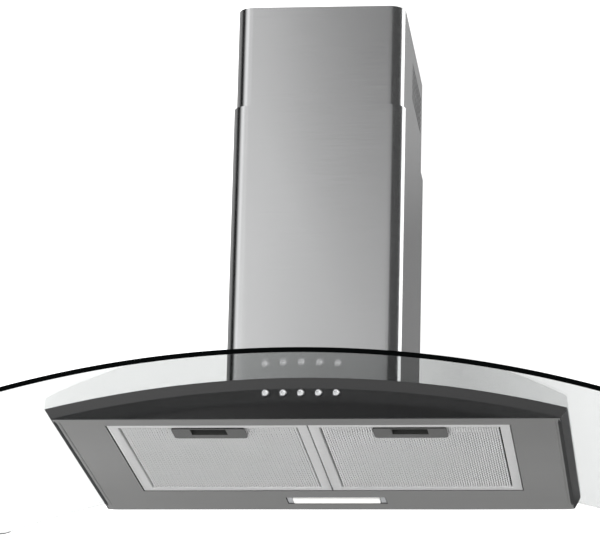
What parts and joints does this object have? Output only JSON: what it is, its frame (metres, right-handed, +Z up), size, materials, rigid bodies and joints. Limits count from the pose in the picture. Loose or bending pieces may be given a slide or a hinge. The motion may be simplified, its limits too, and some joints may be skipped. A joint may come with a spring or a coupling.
{
  "type": "island range hood",
  "caption": "Island range hood with an arched clear glass canopy, slim steel body, mesh filters, lamp, push buttons and a telescoping chimney.",
  "frame": {"origin": "centre of the ceiling plate's top face, where the hood hangs from the ceiling", "axes": "+X to the right seen from the fascia, +Y to the back, +Z up towards the ceiling"},
  "size_m": [0.9, 0.59, 0.5804],
  "materials": {
    "brushed_steel": "brushed, grain along the length",
    "panel_steel": "brushed, satin",
    "zinc_steel": "zinc-plated sheet",
    "fascia_black": "gloss charcoal enamel",
    "clear_glass": "clear toughened, polished edge",
    "filter_aluminium": "expanded mesh",
    "grey_plastic": "satin moulded",
    "black_plastic": "moulded",
    "white_plastic": "moulded",
    "lens_white": "frosted",
    "bulb_glass": "frosted lamp glass",
    "button_chrome": "polished",
    "board_green": "circuit board"
  },
  "bodies": {
    "ceiling_frame": {"ceiling_plate": "zinc_steel", "upper_cover": "brushed_steel", "upper_cover_back": "brushed_steel", "upper_frame_left": "zinc_steel", "upper_frame_right": "zinc_steel"},
    "hood_body": {"lower_frame_left": "zinc_steel", "lower_frame_right": "zinc_steel", "frame_bolt_left_front": "zinc_steel", "frame_bolt_left_rear": "zinc_steel", "frame_bolt_right_front": "zinc_steel", "frame_bolt_right_rear": "zinc_steel", "body_shell": "fascia_black", "bottom_panel": "panel_steel", "filter_centre_rail": "zinc_steel", "fascia": "fascia_black", "glass_canopy": "clear_glass", "glass_clamp_front": "zinc_steel", "glass_clamp_rear": "zinc_steel", "clamp_screw_front_left": "zinc_steel", "clamp_screw_front_right": "zinc_steel", "clamp_screw_rear_left": "zinc_steel", "clamp_screw_rear_right": "zinc_steel", "blower_box": "zinc_steel", "fan_scroll": "zinc_steel", "motor": "zinc_steel", "motor_bracket": "zinc_steel", "capacitor": "white_plastic", "outlet_collar": "black_plastic", "damper_pin": "zinc_steel", "junction_box": "black_plastic", "junction_box_lid": "black_plastic", "cable_gland": "black_plastic", "lamp_housing": "zinc_steel", "lamp_clip_left": "zinc_steel", "lamp_clip_right": "zinc_steel", "lamp_bulb": "bulb_glass", "lamp_socket": "black_plastic", "switch_block": "black_plastic", "switch_board": "board_green"},
    "lower_chimney": {"lower_cover": "brushed_steel", "lower_cover_back": "brushed_steel"},
    "fan": {"impeller": "black_plastic"},
    "flap_front": {"damper_flap_front": "grey_plastic"},
    "flap_rear": {"damper_flap_rear": "grey_plastic"},
    "filter_left": {"filter_left_frame": "filter_aluminium", "filter_left_mesh": "filter_aluminium", "filter_left_handle": "grey_plastic"},
    "latch_left": {"filter_left_latch": "black_plastic"},
    "filter_right": {"filter_right_frame": "filter_aluminium", "filter_right_mesh": "filter_aluminium", "filter_right_handle": "grey_plastic"},
    "latch_right": {"filter_right_latch": "black_plastic"},
    "lamp_cover": {"lamp_lens": "lens_white"},
    "button_1_body": {"button_1": "button_chrome"},
    "button_2_body": {"button_2": "button_chrome"},
    "button_3_body": {"button_3": "button_chrome"},
    "button_4_body": {"button_4": "button_chrome"},
    "button_5_body": {"button_5": "button_chrome"}
  },
  "joints": [
    {"name": "hood_height", "type": "slide", "parent": "ceiling_frame", "child": "hood_body", "axis": [0, 0, 1], "range_m": [-0.06, 0.06]},
    {"name": "lower_chimney_lift", "type": "slide", "parent": "hood_body", "child": "lower_chimney", "axis": [0, 0, 1], "range_m": [0, 0.06]},
    {"name": "fan_spin", "type": "hinge", "parent": "hood_body", "child": "fan", "pos_m": [0, -0.04, -0.398], "axis": [1, 0, 0], "continuous": true},
    {"name": "flap_front_swing", "type": "hinge", "parent": "hood_body", "child": "flap_front", "pos_m": [0, 0, -0.28765], "axis": [-1, 0, 0], "range_deg": [0, 70]},
    {"name": "flap_rear_swing", "type": "hinge", "parent": "hood_body", "child": "flap_rear", "pos_m": [0, 0, -0.28765], "axis": [1, 0, 0], "range_deg": [0, 70]},
    {"name": "filter_left_swing", "type": "hinge", "parent": "hood_body", "child": "filter_left", "pos_m": [-0.12075, 0.124, -0.5474], "axis": [1, 0, 0], "range_deg": [0, 70]},
    {"name": "latch_left_slide", "type": "slide", "parent": "filter_left", "child": "latch_left", "axis": [0, 1, 0], "range_m": [0, 0.003], "stiffness_N_per_m": 400, "springref_m": -0.003},
    {"name": "filter_right_swing", "type": "hinge", "parent": "hood_body", "child": "filter_right", "pos_m": [0.12075, 0.124, -0.5474], "axis": [1, 0, 0], "range_deg": [0, 70]},
    {"name": "latch_right_slide", "type": "slide", "parent": "filter_right", "child": "latch_right", "axis": [0, 1, 0], "range_m": [0, 0.003], "stiffness_N_per_m": 400, "springref_m": -0.003},
    {"name": "lamp_cover_swing", "type": "hinge", "parent": "hood_body", "child": "lamp_cover", "pos_m": [0, 0.189, -0.549], "axis": [1, 0, 0], "range_deg": [0, 75]},
    {"name": "button_1_press", "type": "slide", "parent": "hood_body", "child": "button_1_body", "axis": [0, 1, 0], "range_m": [0, 0.0022], "stiffness_N_per_m": 500, "springref_m": -0.001},
    {"name": "button_2_press", "type": "slide", "parent": "hood_body", "child": "button_2_body", "axis": [0, 1, 0], "range_m": [0, 0.0022], "stiffness_N_per_m": 500, "springref_m": -0.001},
    {"name": "button_3_press", "type": "slide", "parent": "hood_body", "child": "button_3_body", "axis": [0, 1, 0], "range_m": [0, 0.0022], "stiffness_N_per_m": 500, "springref_m": -0.001},
    {"name": "button_4_press", "type": "slide", "parent": "hood_body", "child": "button_4_body", "axis": [0, 1, 0], "range_m": [0, 0.0022], "stiffness_N_per_m": 500, "springref_m": -0.001},
    {"name": "button_5_press", "type": "slide", "parent": "hood_body", "child": "button_5_body", "axis": [0, 1, 0], "range_m": [0, 0.0022], "stiffness_N_per_m": 500, "springref_m": -0.001}
  ]
}
